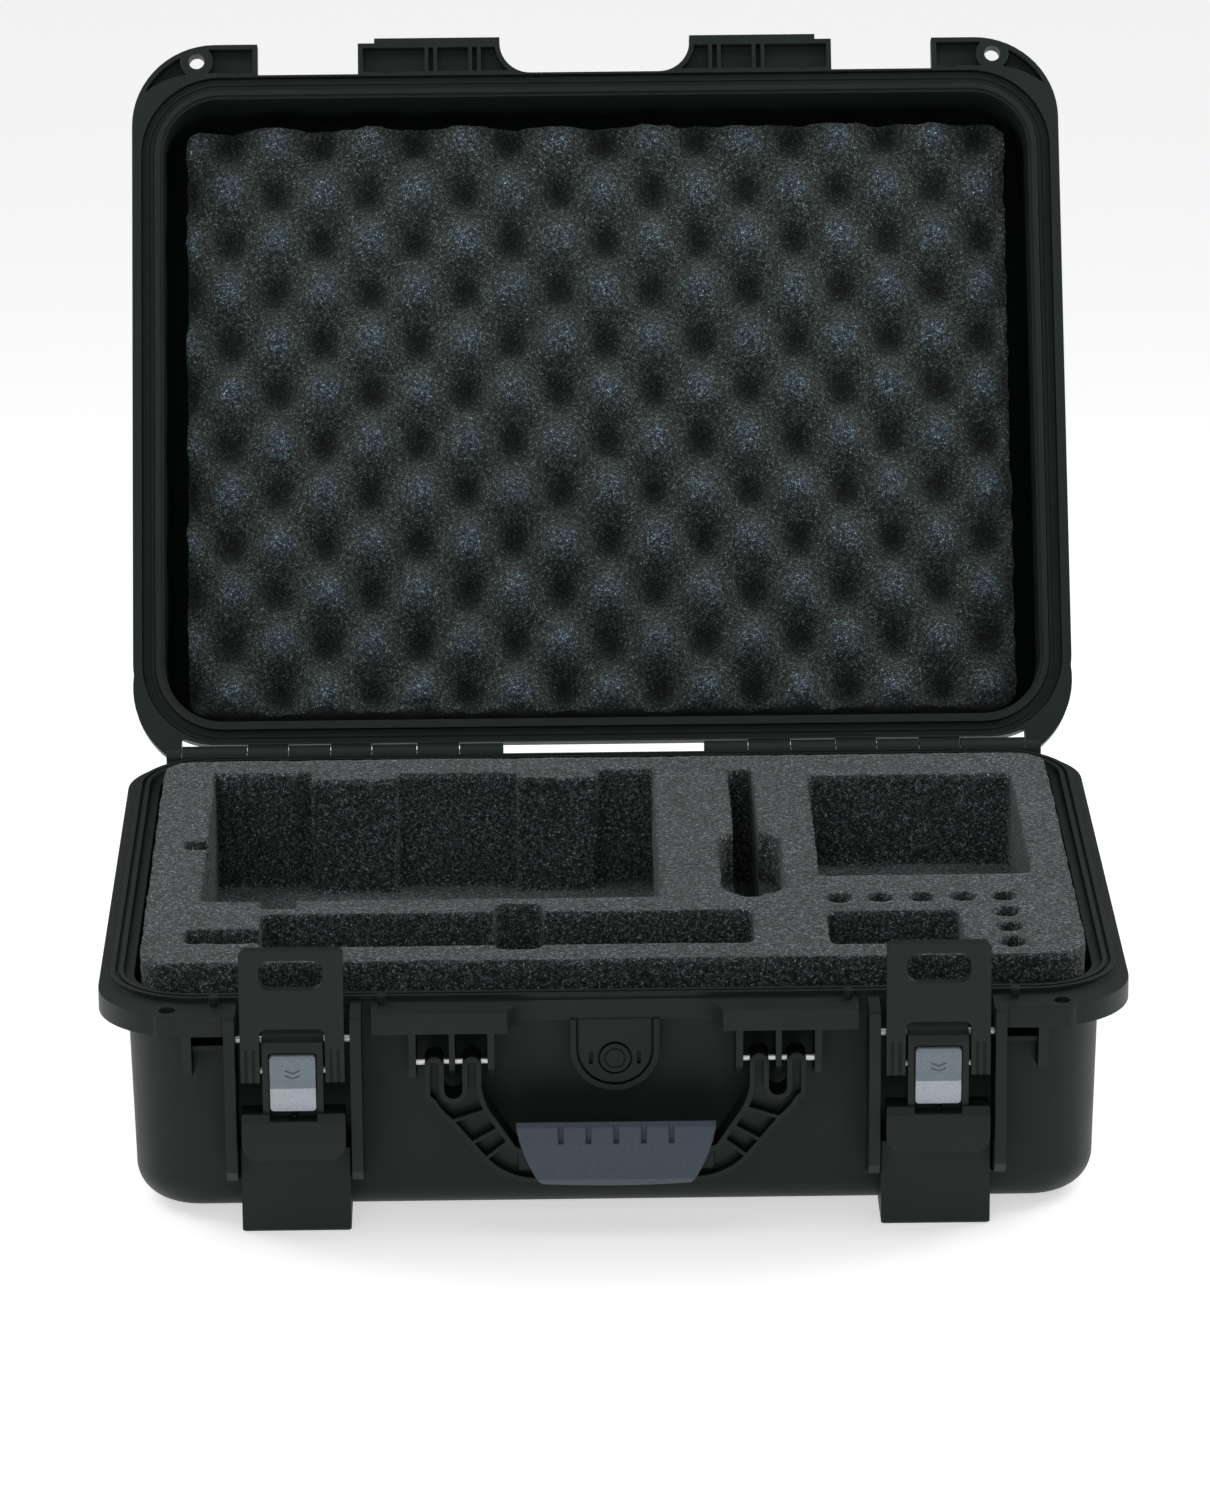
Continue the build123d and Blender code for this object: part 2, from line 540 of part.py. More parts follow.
def latch_claw():
    back = EAR_Y - CLAW_FACE
    front = back - CLAW_PLATE
    half = CLAW_WIDTH / 2
    axis_y, axis_z = claw_axis()
    slot_width, slot_low, slot_high = CLAW_SLOT
    tall = CLAW_TOP - axis_z
    plate = Pos(0, (CLAW_TOP + axis_z) / 2) * Rectangle(CLAW_WIDTH, tall)
    plate = fillet(plate.vertices().group_by(Axis.Y)[-1], 2.5)
    window_top = -SLIDE_TOP + 11.1
    window = Pos(0, (window_top + axis_z - 9) / 2) * Rectangle(LEVER_WIDTH + 1.8, window_top - axis_z + 9)
    window = fillet(window.vertices().group_by(Axis.Y)[-1], 3)
    slot = Pos(0, (slot_low + slot_high) / 2) * RectangleRounded(slot_width, slot_high - slot_low, 4.6)
    claw = front_shape(plate, back, front)
    leg_width = half - LEVER_WIDTH / 2 - 0.9
    for inner in (-half, half - leg_width):
        heel = [(back, -12), (front, -12), (front, axis_z - 3.4), (axis_y, axis_z - 3.4),
                (axis_y + 3.2, axis_z - 1), (axis_y + 3.2, axis_z + 2)]
        claw += side_profile(heel, inner, inner + leg_width)
        claw += rod(3.4, inner, inner + leg_width, axis_y, axis_z)
    claw -= front_shape(window, back + 9, front - 1)
    claw -= front_shape(slot, back + 1, front - 1)
    for side in (-1, 1):
        for step in (-1.5, 1.5):
            x = side * (half - leg_width / 2) + step
            claw -= block((x - 0.5, x + 0.5), (front - 1, front + 0.9), (axis_z - 5, -13))
    return claw - rod(CLAW_PIN + PIN_GAP, -half + 1, half - 1, axis_y, axis_z)


def latch_pin():
    half = LATCH_BAY / 2 + LATCH_RIB - 1.4
    return rod(LATCH_PIN, -half, half, *lever_axis())


def claw_pin():
    half = CLAW_WIDTH / 2 - 1.2
    return rod(CLAW_PIN, -half, half, *claw_axis())


# ---------------------------------------------------------------- handle

def finger(low, high):
    """The rounded end of one finger in the front view, down into the arm."""
    z = -HANDLE_PIVOT[1]
    half = (high - low) / 2
    return Pos((low + high) / 2, z + half - 10) * SlotOverall(20, high - low, rotation=90)


def arm_outline():
    """One arm of the handle in the front view, for +X."""
    z = -HANDLE_PIVOT[1]
    in_x, out_x = FINGERS[0][0], FINGERS[-1][1]
    shoulder = z - ARM_SHOULDER
    foot = -GRIP_BOTTOM
    bend = (out_x - 9.5, shoulder - 15.3)
    elbow = (54, foot + 11)
    heel = (30, foot + 1.6)
    root = (41, foot + 17.5)
    neck = (in_x - 5.6, shoulder - 14)
    edge = [
        ThreePointArc((out_x, shoulder), (out_x - 2.6, shoulder - 7), bend), Line(bend, elbow),
        ThreePointArc(elbow, (46.5, foot + 5.2), heel), Line(heel, (30, foot + 14)),
        Line((30, foot + 14), root), Line(root, neck),
        ThreePointArc(neck, (in_x - 1.8, shoulder - 7.4), (in_x, shoulder)),
        Line((in_x, shoulder), (out_x, shoulder)),
    ]
    crotch = (FINGERS[0][1] + FINGERS[1][0]) / 2
    gap = FINGERS[1][0] - FINGERS[0][1]
    valley = Pos(crotch, z - 8) * SlotOverall(12, gap, rotation=90)
    return make_face(edge) + finger(*FINGERS[0]) + finger(*FINGERS[1]) - valley


def handle_frame():
    y, z = handle_axis()
    back = y + HANDLE_THICK / 2
    front = y - HANDLE_THICK / 2
    arm = front_shape(arm_outline(), back, front)
    core = front_shape(offset(arm_outline(), -ARM_EDGE), front + 5, front - 1)
    for x, down, tilt in ARM_RIBS:
        core -= Pos(x, y, z - down) * Rotation(0, tilt, 0) * Box(34, HANDLE_THICK * 2, 1.5)
    arm = both(arm - core)
    bar = block((-40, 40), (y - 4, y + 4), (-GRIP_BOTTOM + 6, -GRIP_TOP - 8))
    frame = arm + bar
    rounding = rod(HANDLE_THICK / 2, -HALF, HALF, y, z)
    lower = block((-HALF, HALF), (front, back), (-90, z))
    frame &= rounding + lower
    return frame - both(rod(HANDLE_PIN + PIN_GAP, TABS[0][0], TABS[-1][1], y, z))


def grip_outline():
    """The grip in the front view: a bowl, wide at the top."""
    waist = GRIP_HALF - 3.8
    foot_x = GRIP_HALF - 10.5
    foot_z = -GRIP_BOTTOM + 0.8
    top = Line((-GRIP_HALF, -GRIP_TOP), (GRIP_HALF, -GRIP_TOP))
    right = ThreePointArc((GRIP_HALF, -GRIP_TOP), (waist, -GRIP_TOP - 14.5), (foot_x, foot_z))
    low = ThreePointArc((foot_x, foot_z), (0, -GRIP_BOTTOM - 0.8), (-foot_x, foot_z))
    left = ThreePointArc((-foot_x, foot_z), (-waist, -GRIP_TOP - 14.5), (-GRIP_HALF, -GRIP_TOP))
    return make_face([top, right, low, left])


def handle_grip():
    y = handle_axis()[0]
    back = y + HANDLE_THICK / 2
    front = y - HANDLE_THICK / 2 - GRIP_SWELL
    grip = front_shape(grip_outline(), back, front)
    section = [(back, -GRIP_TOP - 11), (y, -GRIP_TOP - 5.5), (front + 3, -GRIP_TOP),
               (front + 0.6, -GRIP_TOP - 1.6), (front, -GRIP_TOP - 9), (front + 1, -GRIP_BOTTOM + 4),
               (y - 4, -GRIP_BOTTOM - 1.5), (back - 5, -GRIP_BOTTOM - 1.5), (back, -GRIP_BOTTOM + 3)]
    grip &= side_profile(section, -HALF, HALF)
    half_width, length, depth = GRIP_GROOVE
    for i in range(GRIP_GROOVES):
        x = (i - (GRIP_GROOVES - 1) / 2) * GRIP_GROOVE_PITCH
        groove_z = (-GRIP_TOP - length, -GRIP_TOP + 1)
        grip -= block((x - half_width, x + half_width), (front - 1, front + depth), groove_z)
    return grip - handle_frame()


def handle_pin():
    """One of the two handle pins, for +X."""
    return rod(HANDLE_PIN, TABS[0][0], TABS[-1][1], *handle_axis())


# ---------------------------------------------------------------- pressure valve

def valve_cover():
    front = valve_faces()[2]
    outline = valve_outline(-COVER_RIM - COVER_GAP)
    plate = front_shape(outline, front + 3, front + 0.8)
    plate -= front_shape(Pos(0, -VALVE_Z) * Circle(VALVE_KNOB + COVER_GAP), front + 4, front)
    for x in (-COVER_VENT, COVER_VENT):
        vent = Pos(x, -VALVE_Z) * SlotOverall(5.5, 1.6, rotation=90)
        plate -= front_shape(vent, front + 4, front)
    return plate


def valve_body():
    inside, _, front = valve_faces()
    here = Pos(0, -VALVE_Z)
    body = front_shape(here * Circle(VALVE_KNOB), front + 3, front + 0.3)
    body += front_shape(here * Circle(VALVE_SHANK), inside + 7.5, front + 2)
    cavity = front_shape(here * Circle(VALVE_SHANK - 1.2), inside + 8, front + 2.2)
    return body - cavity - front_shape(here * (Circle(4.4) - Circle(3.8)), front + 0.9, front)


def valve_seal():
    """The ring under the valve's head, in the counterbore of the boss."""
    front = valve_faces()[2]
    ring = Circle(VALVE_KNOB - 1.2) - Circle(VALVE_SHANK + 0.1)
    return front_shape(Pos(0, -VALVE_Z) * ring, front + 4.5, front + 3)


def valve_membrane():
    inside = valve_faces()[0]
    return front_shape(Pos(0, -VALVE_Z) * Circle(VALVE_SHANK - 1.2), inside + 5.4, inside + 5.0)


def valve_nut():
    inside = valve_faces()[0]
    ring = RegularPolygon(8.5, 6) - Circle(VALVE_SHANK + 0.02)
    return front_shape(Pos(0, -VALVE_Z) * ring, inside + 5, inside + 0.3)


# ---------------------------------------------------------------- foam

def pocket_list():
    """The insert's cut-outs as (x, y, depth), measured from the hinge axis and the insert's top."""
    deep = FOAM_TOP + FOAM_SPLIT - FOAM_FLOOR
    return [
        ((-173, 21), (-216, -58), deep), ((-173, -130), (-70, -48), deep), ((-92, -39), (-70, -51), deep),
        ((-4, 21), (-70, -48), deep), ((-183, -172), (-150, -139), 20), ((-148, -132), (-226, -215), 24),
        ((-178, -146), (-267, -250), 16), ((-147, 59), (-273, -233), 27), ((-49, -28.5), (-278, -223), 36),
        ((54, 65), (-217, -51), deep), ((89, 179), (-192, -60), 42), ((90, 146), (-276.5, -236.5), 26),
    ]


def battery_places():
    """Centres of the round wells: a row along X and a column towards the front."""
    row = [(96 + 17.35 * i, -220) for i in range(5)]
    column = [(165.4, -239 - 18.2 * i) for i in range(3)]
    return row + column


def base_foam_insert():
    outline = frame_at(foam_inset(FOAM_SIDE), foam_end_inset(FOAM_END), 14)
    insert = slab(outline, -FOAM_SPLIT, FOAM_TOP)
    for x, y, depth in pocket_list():
        corner = min(POCKET_CORNER, (x[1] - x[0]) / 3, (y[1] - y[0]) / 3)
        hole = Pos(sum(x) / 2, sum(y) / 2) * RectangleRounded(x[1] - x[0], y[1] - y[0], corner)
        insert -= slab(hole, FOAM_TOP - depth, FOAM_TOP + 1)
    crescent = Pos(60.5, -170) * Ellipse(13.8, 47)
    crescent &= Pos(60.5, -195) * Rectangle(40, 62)
    insert -= slab(crescent, FOAM_TOP - CRESCENT_DEPTH, FOAM_TOP + 1)
    for x, y in battery_places():
        insert -= slab(Pos(x, y) * Circle(BATTERY_HOLE), FOAM_TOP - BATTERY_DEPTH, FOAM_TOP + 1)
    return insert


def foam_inset(gap):
    """Step in from the side edge of the rim to a gap inside the walls."""
    return SIDE_LIP + TONGUE_WIDTH + WALL_STEP + WALL + gap


def foam_end_inset(gap):
    return FRONT_LIP + TONGUE_WIDTH + WALL_STEP + WALL + gap


def base_foam_pad():
    """The plain bottom layer, shaped to the tub's rounded floor."""
    step = TONGUE_WIDTH + WALL_STEP + WALL + FOAM_FIT
    pad = tub(BASE_HEIGHT - FOOT_DROP - WALL - FOAM_FIT, step, BOTTOM_ROUND - WALL)
    return pad - block((-HALF, HALF), (EAR_Y, 0), (-FOAM_SPLIT, 1))


def lid_foam():
    """The convoluted pad, as the block that its peaks reach."""
    ceiling = LID_HEIGHT - WALL
    half = HALF - foam_inset(LID_FOAM_SIDE)
    front = RIM_Y + foam_end_inset(LID_FOAM_FRONT)
    back = -RIM_BACK - foam_end_inset(LID_FOAM_REAR)
    outline = Pos(0, (front + back) / 2) * RectangleRounded(2 * half, back - front, 8)
    pad = slab(outline, ceiling - LID_FOAM_DEPTH, ceiling - FOAM_FIT)
    step = TONGUE_WIDTH + WALL_STEP + WALL + FOAM_FIT
    inside = Rotation(180, 0, 0) * tub(ceiling - FOAM_FIT, step, BOTTOM_ROUND - WALL)
    return pad & (Pos(0, RIM_Y - RIM_BACK, 0) * inside)


# ---------------------------------------------------------------- assembly

def closed_height(shape):
    return Pos(0, 0, RIM) * shape


def opened(shape):
    """A lid piece turned from closed to its open stop."""
    return closed_height(Rotation(-LID_OPEN, 0, 0) * shape)


def build():
    pieces = {
        "base_shell": closed_height(base_shell()),
        "lid_shell": opened(lid_shell()),
        "lid_gasket": opened(lid_gasket()),
        "hinge_pin_left": closed_height(mirror(hinge_pin(), Plane.YZ)),
        "hinge_pin_right": closed_height(hinge_pin()),
        "handle_frame": closed_height(handle_frame()),
        "handle_grip": closed_height(handle_grip()),
        "handle_pin_left": closed_height(mirror(handle_pin(), Plane.YZ)),
        "handle_pin_right": closed_height(handle_pin()),
        "valve_cover": closed_height(valve_cover()),
        "valve_body": closed_height(valve_body()),
        "valve_seal": closed_height(valve_seal()),
        "valve_membrane": closed_height(valve_membrane()),
        "valve_nut": closed_height(valve_nut()),
        "base_foam_insert": closed_height(base_foam_insert()),
        "base_foam_pad": closed_height(base_foam_pad()),
        "lid_foam": opened(lid_foam()),
    }
    latch = {
        "latch_lever": latch_lever(),
        "latch_claw": latch_claw(),
        "latch_slide": latch_slide(),
        "latch_tip": latch_tip(),
        "latch_spring": latch_spring(),
        "latch_pin": latch_pin(),
        "claw_pin": claw_pin(),
    }
    for side in LATCHES:
        for name, shape in latch.items():
            pieces[f"{name}_{side}"] = closed_height(side_shift(side) * shape)
    return pieces


def origin_shift(pieces):
    """The move that puts the origin under the middle of the whole case."""
    boxes = [shape.bounding_box() for shape in pieces.values()]
    low = [min(getattr(b.min, k) for b in boxes) for k in "XYZ"]
    high = [max(getattr(b.max, k) for b in boxes) for k in "XYZ"]
    return (-(low[0] + high[0]) / 2, -(low[1] + high[1]) / 2, -low[2])


PIECES = build()
SHIFT = origin_shift(PIECES)
for name, shape in PIECES.items():
    export_step(Pos(*SHIFT) * shape, f"parts/{name}.step")
print("origin moved by", [round(v, 3) for v in SHIFT], "pieces", len(PIECES))
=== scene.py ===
import json
import math

import bmesh
import bpy
from mathutils import Matrix, Vector, noise


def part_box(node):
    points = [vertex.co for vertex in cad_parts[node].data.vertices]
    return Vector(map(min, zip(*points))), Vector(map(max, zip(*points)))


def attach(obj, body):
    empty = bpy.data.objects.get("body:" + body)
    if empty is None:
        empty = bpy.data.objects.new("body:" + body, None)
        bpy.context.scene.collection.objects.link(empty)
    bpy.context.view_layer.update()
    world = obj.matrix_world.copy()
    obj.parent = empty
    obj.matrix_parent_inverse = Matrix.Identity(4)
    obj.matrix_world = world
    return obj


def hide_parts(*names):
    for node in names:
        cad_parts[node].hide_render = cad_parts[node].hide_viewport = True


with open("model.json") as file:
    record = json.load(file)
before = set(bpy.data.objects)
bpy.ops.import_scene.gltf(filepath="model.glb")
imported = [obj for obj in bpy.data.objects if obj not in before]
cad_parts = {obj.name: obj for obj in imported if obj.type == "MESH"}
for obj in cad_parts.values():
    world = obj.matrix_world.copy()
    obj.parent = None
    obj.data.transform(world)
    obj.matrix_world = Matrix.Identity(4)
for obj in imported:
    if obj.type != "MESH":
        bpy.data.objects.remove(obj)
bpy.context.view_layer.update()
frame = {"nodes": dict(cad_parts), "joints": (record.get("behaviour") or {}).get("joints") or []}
nodes = frame["nodes"]
noise.seed_set(7)        # the same surface each time

MM = 0.001
hinge = next(joint for joint in frame["joints"] if joint["name"] == "lid_hinge")
HINGE_Y, PARTING_Z = (v / MM for v in hinge["pos_m"][1:])   # in millimetres like every length below
LID_OPEN = math.radians(118.4)


# ---------------------------------------------------------------- materials

# pattern scales, in features per metre
PORES, CLUMPS, SPECKS, SPARKS, BLOTCHES = 760, 620, 1500, 1900, 45
GRAIN, DRIFT, SMEAR, WAVES = 1500, 14, 40, 70
WIRE_LINES = 2600

def start_material(name, roughness, specular=0.5):
    """A new material with its shader, and the coordinates that its patterns read."""
    material = bpy.data.materials.new(name)
    material.use_nodes = True
    tree = material.node_tree
    shader = tree.nodes["Principled BSDF"]
    shader.inputs["Roughness"].default_value = roughness
    shader.inputs["Specular IOR Level"].default_value = specular
    place = tree.nodes.new("ShaderNodeTexCoord").outputs["Object"]
    return material, tree, shader, place


def cloud(tree, place, scale, detail=3.0, rough=0.55):
    """A noise pattern, with its scale in features per metre."""
    node = tree.nodes.new("ShaderNodeTexNoise")
    node.inputs["Scale"].default_value = scale
    node.inputs["Detail"].default_value = detail
    node.inputs["Roughness"].default_value = rough
    tree.links.new(place, node.inputs["Vector"])
    return node.outputs["Fac"]


def cells(tree, place, scale):
    """A cell pattern: the distance to the nearest cell's middle."""
    node = tree.nodes.new("ShaderNodeTexVoronoi")
    node.inputs["Scale"].default_value = scale
    tree.links.new(place, node.inputs["Vector"])
    return node.outputs["Distance"]


def shades(tree, value, stops):
    """Colours along a value: (position, (r, g, b)) pairs."""
    node = tree.nodes.new("ShaderNodeValToRGB")
    ramp = node.color_ramp
    while len(ramp.elements) < len(stops):
        ramp.elements.new(0.5)
    for element, (at, colour) in zip(ramp.elements, stops):
        element.position = at
        element.color = (*colour, 1)
    tree.links.new(value, node.inputs["Fac"])
    return node.outputs["Color"]


def blended(tree, kind, share, first, second):
    """Two colours joined by a mix node; share is a number or a socket."""
    node = tree.nodes.new("ShaderNodeMix")
    node.data_type = "RGBA"
    node.blend_type = kind
    if isinstance(share, (int, float)):
        node.inputs["Factor"].default_value = share
    else:
        tree.links.new(share, node.inputs["Factor"])
    for name, value in (("A", first), ("B", second)):
        socket = next(s for s in node.inputs if s.name == name and s.type == "RGBA")
        if isinstance(value, tuple):
            socket.default_value = (*value, 1)
        else:
            tree.links.new(value, socket)
    return next(s for s in node.outputs if s.type == "RGBA")


def between(tree, value, low, high):
    """A value that runs from 0 to 1 stretched to run from low to high."""
    node = tree.nodes.new("ShaderNodeMapRange")
    node.inputs["To Min"].default_value = low
    node.inputs["To Max"].default_value = high
    tree.links.new(value, node.inputs["Value"])
    return node.outputs["Result"]


def relief(tree, shader, layers, edge=0.0):
    """Bumps from (height socket, strength, distance in mm) layers, over edges rounded by a radius in mm."""
    normal = None
    if edge:
        rounded = tree.nodes.new("ShaderNodeBevel")
        rounded.samples = 4
        rounded.inputs["Radius"].default_value = edge * MM
        normal = rounded.outputs["Normal"]
    for height, strength, distance in layers:
        node = tree.nodes.new("ShaderNodeBump")
        node.inputs["Strength"].default_value = strength
        node.inputs["Distance"].default_value = distance * MM
        tree.links.new(height, node.inputs["Height"])
        if normal is not None:
            tree.links.new(normal, node.inputs["Normal"])
        normal = node.outputs["Normal"]
    tree.links.new(normal, shader.inputs["Normal"])


def moulded_plastic(name, dark, light, roughness, spread=0.08, grain=0.35, edge=0.5):
    """Textured moulded plastic: fine grain, slow colour drift, and a roughness that varies a little."""
    material, tree, shader, place = start_material(name, roughness, 0.22)
    shader.inputs["Specular Tint"].default_value = (0.87, 1.0, 0.96, 1)
    drift = cloud(tree, place, DRIFT, 4)
    fleck = cloud(tree, place, GRAIN, 2)
    colour = blended(tree, "MIX", drift, dark, light)
    flecks = shades(tree, fleck, [(0.35, (0.82, 0.82, 0.82)), (0.62, (1.12, 1.12, 1.12))])
    tree.links.new(blended(tree, "MULTIPLY", 0.7, colour, flecks), shader.inputs["Base Color"])
    smear = cloud(tree, place, SMEAR, 5)
    tree.links.new(between(tree, smear, roughness - spread, roughness + spread), shader.inputs["Roughness"])
    relief(tree, shader, [(fleck, grain, 0.06), (cloud(tree, place, WAVES, 3), 0.12, 0.12)], edge)
    return material


def foam(name, dark, light, grain, peaks=None):
    """Open-cell foam: dark pores, cell walls that catch the light, and soft blotches.

    grain is (pore shade, wall shade, spark shade); peaks is the name of a 0 to 1 height on the mesh, which
    paints shade into the hollows and light onto the peaks.
    """
    material, tree, shader, place = start_material(name, 0.85, 0.2)
    pores = cells(tree, place, PORES)
    coarse = cloud(tree, place, CLUMPS, 2, 0.6)
    fine = cloud(tree, place, SPECKS, 2, 0.7)
    blotch = cloud(tree, place, BLOTCHES, 4)
    base = blended(tree, "MIX", blotch, dark, light)
    if peaks:
        lift = tree.nodes.new("ShaderNodeAttribute")
        lift.attribute_name = peaks
        # painted shade in the hollows and painted light on the peaks, read from the height on the mesh
        painted_peak_shading = shades(tree, lift.outputs["Fac"], PEAK_LIGHT_AND_HOLLOW_SHADE)
        base = blended(tree, "MULTIPLY", 1.0, base, painted_peak_shading)
    pore, wall, spark = grain
    clumps = shades(tree, coarse, [(0.36, pore), (0.5, wall), (0.64, spark)])
    specks = shades(tree, fine, [(0.38, pore), (0.52, wall), (0.66, spark)])
    base = blended(tree, "MULTIPLY", 1.0, base, clumps)
    base = blended(tree, "MULTIPLY", 1.0, base, specks)
    # painted glints: rare specks made up to five times brighter, standing in for light caught by the cell
    # walls
    painted_glints = shades(tree, cloud(tree, place, SPARKS, 0), [(0.6, (1, 1, 1)), (0.72, (5, 5, 5.1))])
    base = blended(tree, "MULTIPLY", 1.0, base, painted_glints)
    tree.links.new(base, shader.inputs["Base Color"])
    shader.inputs["Sheen Weight"].default_value = 0.12
    shader.inputs["Sheen Roughness"].default_value = 0.5
    relief(tree, shader, [(pores, 0.6, 0.7), (coarse, 0.7, 0.8), (fine, 0.6, 0.4)])
    return material


def brushed_metal(name, colour, roughness):
    """Drawn metal with fine lines along X."""
    material, tree, shader, place = start_material(name, roughness)
    shader.inputs["Metallic"].default_value = 1.0
    stretch = tree.nodes.new("ShaderNodeMapping")
    stretch.inputs["Scale"].default_value = (0.08, 1, 1)
    tree.links.new(place, stretch.inputs["Vector"])
    lines = cloud(tree, stretch.outputs["Vector"], WIRE_LINES, 3)
    worn = shades(tree, lines, [(0.3, tuple(c * 0.75 for c in colour)), (0.7, colour)])
    tree.links.new(worn, shader.inputs["Base Color"])
    tree.links.new(between(tree, lines, roughness - 0.08, roughness + 0.12), shader.inputs["Roughness"])
    relief(tree, shader, [(lines, 0.2, 0.02)], 0.15)
    return material


# painted light and shade on the convoluted foam, from the hollows (0), darkened as painted shade, to the
# peaks (1), lightened with a bluish painted highlight
PEAK_LIGHT_AND_HOLLOW_SHADE = [
    (0.0, (0.2, 0.2, 0.2)), (0.16, (0.42, 0.43, 0.42)), (0.36, (0.95, 0.97, 0.95)),
    (0.64, (1.0, 1.02, 1.0)), (1.0, (1.75, 1.85, 2.3)),
]
BASE_GRAIN = ((0.34, 0.34, 0.34), (0.95, 0.95, 0.95), (2.3, 2.3, 2.35))
LID_GRAIN = ((0.45, 0.45, 0.45), (0.95, 0.95, 0.95), (2.3, 2.3, 2.35))

FINISHES = {
    "shell": moulded_plastic(
        "charcoal_shell", (0.0075, 0.0105, 0.0098), (0.0105, 0.0140, 0.0130), 0.5),
    "latch": moulded_plastic(
        "latch_plastic", (0.0070, 0.0100, 0.0092), (0.0098, 0.0132, 0.0122), 0.44, edge=0.6),
    "handle": moulded_plastic(
        "handle_plastic", (0.0035, 0.0060, 0.0054), (0.0055, 0.0085, 0.0078), 0.42, edge=0.5),
    "grip": moulded_plastic(
        "grip_rubber", (0.052, 0.062, 0.080), (0.060, 0.071, 0.091), 0.6, grain=0.5, edge=1.0),
    "slide": moulded_plastic(
        "slide_plastic", (0.155, 0.185, 0.215), (0.175, 0.205, 0.24), 0.42, grain=0.2, edge=0.4),
    "slide_tip": moulded_plastic(
        "tip_plastic", (0.34, 0.38, 0.42), (0.39, 0.43, 0.465), 0.4, grain=0.2, edge=0.5),
    "steel": brushed_metal("pin_steel", (0.62, 0.62, 0.6), 0.3),
    "seal": moulded_plastic(
        "seal_rubber", (0.006, 0.006, 0.0065), (0.009, 0.009, 0.0095), 0.62, grain=0.6, edge=0.2),
    "membrane": moulded_plastic(
        "membrane_film", (0.5, 0.5, 0.48), (0.6, 0.6, 0.58), 0.7, grain=0.7, edge=0.0),
    "base_foam": foam(
        "insert_foam", (0.0205, 0.0245, 0.0245), (0.0285, 0.0335, 0.0340), BASE_GRAIN),
    "lid_foam": foam(
        "convoluted_foam", (0.0125, 0.0168, 0.0152), (0.0175, 0.0225, 0.0205), LID_GRAIN, "peak"),
}

OILED_WIRE = brushed_metal("spring_wire", (0.05, 0.052, 0.055), 0.4)

for name, node in nodes.items():
    for held in node.material_slots:
        slot = held.material.name.split(".")[0]
        held.material = OILED_WIRE if name.startswith("latch_spring") else FINISHES[slot]


# ---------------------------------------------------------------- mesh helpers

def finish_piece(name, mesh_maker, body, slot, smooth=True):
    """Turns a bmesh in millimetres from the hinge axis and parting plane into a finished piece."""
    for vert in mesh_maker.verts:
        vert.co = Vector((vert.co.x, vert.co.y + HINGE_Y, vert.co.z + PARTING_Z)) * MM
    bmesh.ops.recalc_face_normals(mesh_maker, faces=mesh_maker.faces)
    for face in mesh_maker.faces:
        face.smooth = smooth
    mesh = bpy.data.meshes.new(name)
    mesh_maker.to_mesh(mesh)
    mesh_maker.free()
    piece = bpy.data.objects.new(name, mesh)
    bpy.context.scene.collection.objects.link(piece)
    mesh.materials.append(FINISHES[slot])
    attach(piece, body)
    return piece


def grid_lines(low, high, marks, step):
    """Grid lines from low to high that pass through the marks, no further apart than a step."""
    stops = [low]
    for mark in sorted(marks):
        if mark - stops[-1] > step / 3 and high - mark > step / 3:
            stops.append(mark)
    stops.append(high)
    lines = [low]
    for a, b in zip(stops, stops[1:]):
        count = max(1, math.ceil((b - a) / step))
        lines += [a + (b - a) * (i + 1) / count for i in range(count)]
    return lines


def sheet_grid(xs, ys):
    """A flat grid on the given lines."""
    sheet = bmesh.new()
    bmesh.ops.create_grid(sheet, x_segments=len(xs) - 1, y_segments=len(ys) - 1, size=0.5)
    for vert in sheet.verts:
        i = round((vert.co.x + 0.5) * (len(xs) - 1))
        j = round((vert.co.y + 0.5) * (len(ys) - 1))
        vert.co = Vector((xs[i], ys[j], 0))
    return sheet


def box_distance(x, y, shape):
    """Signed distance to a rounded rectangle (x low, x high, y low, y high, corner radius)."""
    x_low, x_high, y_low, y_high, radius = shape
    dx = abs(x - (x_low + x_high) / 2) - (x_high - x_low) / 2 + radius
    dy = abs(y - (y_low + y_high) / 2) - (y_high - y_low) / 2 + radius
    return math.hypot(max(dx, 0), max(dy, 0)) + min(max(dx, dy), 0) - radius


def pull_to_edge(vert, distance, reach):
    """Moves a point onto the edge of a shape along the steepest way, if it is within reach."""
    step = 0.05
    x, y = vert.co.x, vert.co.y
    away = distance(x, y)
    if abs(away) > reach:
        return
    slope = Vector((distance(x + step, y) - away, distance(x, y + step) - away)) / step
    if slope.length > 0.2:
        vert.co.x -= away * slope.x / slope.length_squared
        vert.co.y -= away * slope.y / slope.length_squared


def trim_to(sheet, outline, reach):
    """Cuts a grid to a rounded rectangle and pulls its border onto the outline."""
    inside = lambda x, y: box_distance(x, y, outline)
    spare = [f for f in sheet.faces if inside(*f.calc_center_median().xy) > 0]
    bmesh.ops.delete(sheet, geom=spare, context="FACES")
    for vert in sheet.verts:
        if vert.is_boundary:
            pull_to_edge(vert, inside, reach)


def drop_border(sheet, heights, shape_at=None):
    """Carries the open border down through the heights, then closes it."""
    rim = [e for e in sheet.edges if e.is_boundary]
    for height in heights:
        made = bmesh.ops.extrude_edge_only(sheet, edges=rim)["geom"]
        rim = [g for g in made if isinstance(g, bmesh.types.BMEdge)]
        for vert in {v for e in rim for v in e.verts}:
            vert.co.z = height
            if shape_at:
                shape_at(vert, height)
    bmesh.ops.contextual_create(sheet, geom=rim)


def wobble(point, size, amount):
    """A smooth random shift, up to an amount, that changes over a size."""
    return noise.noise_vector(Vector(point) / size) * amount


# ---------------------------------------------------------------- cut-out foam in the base

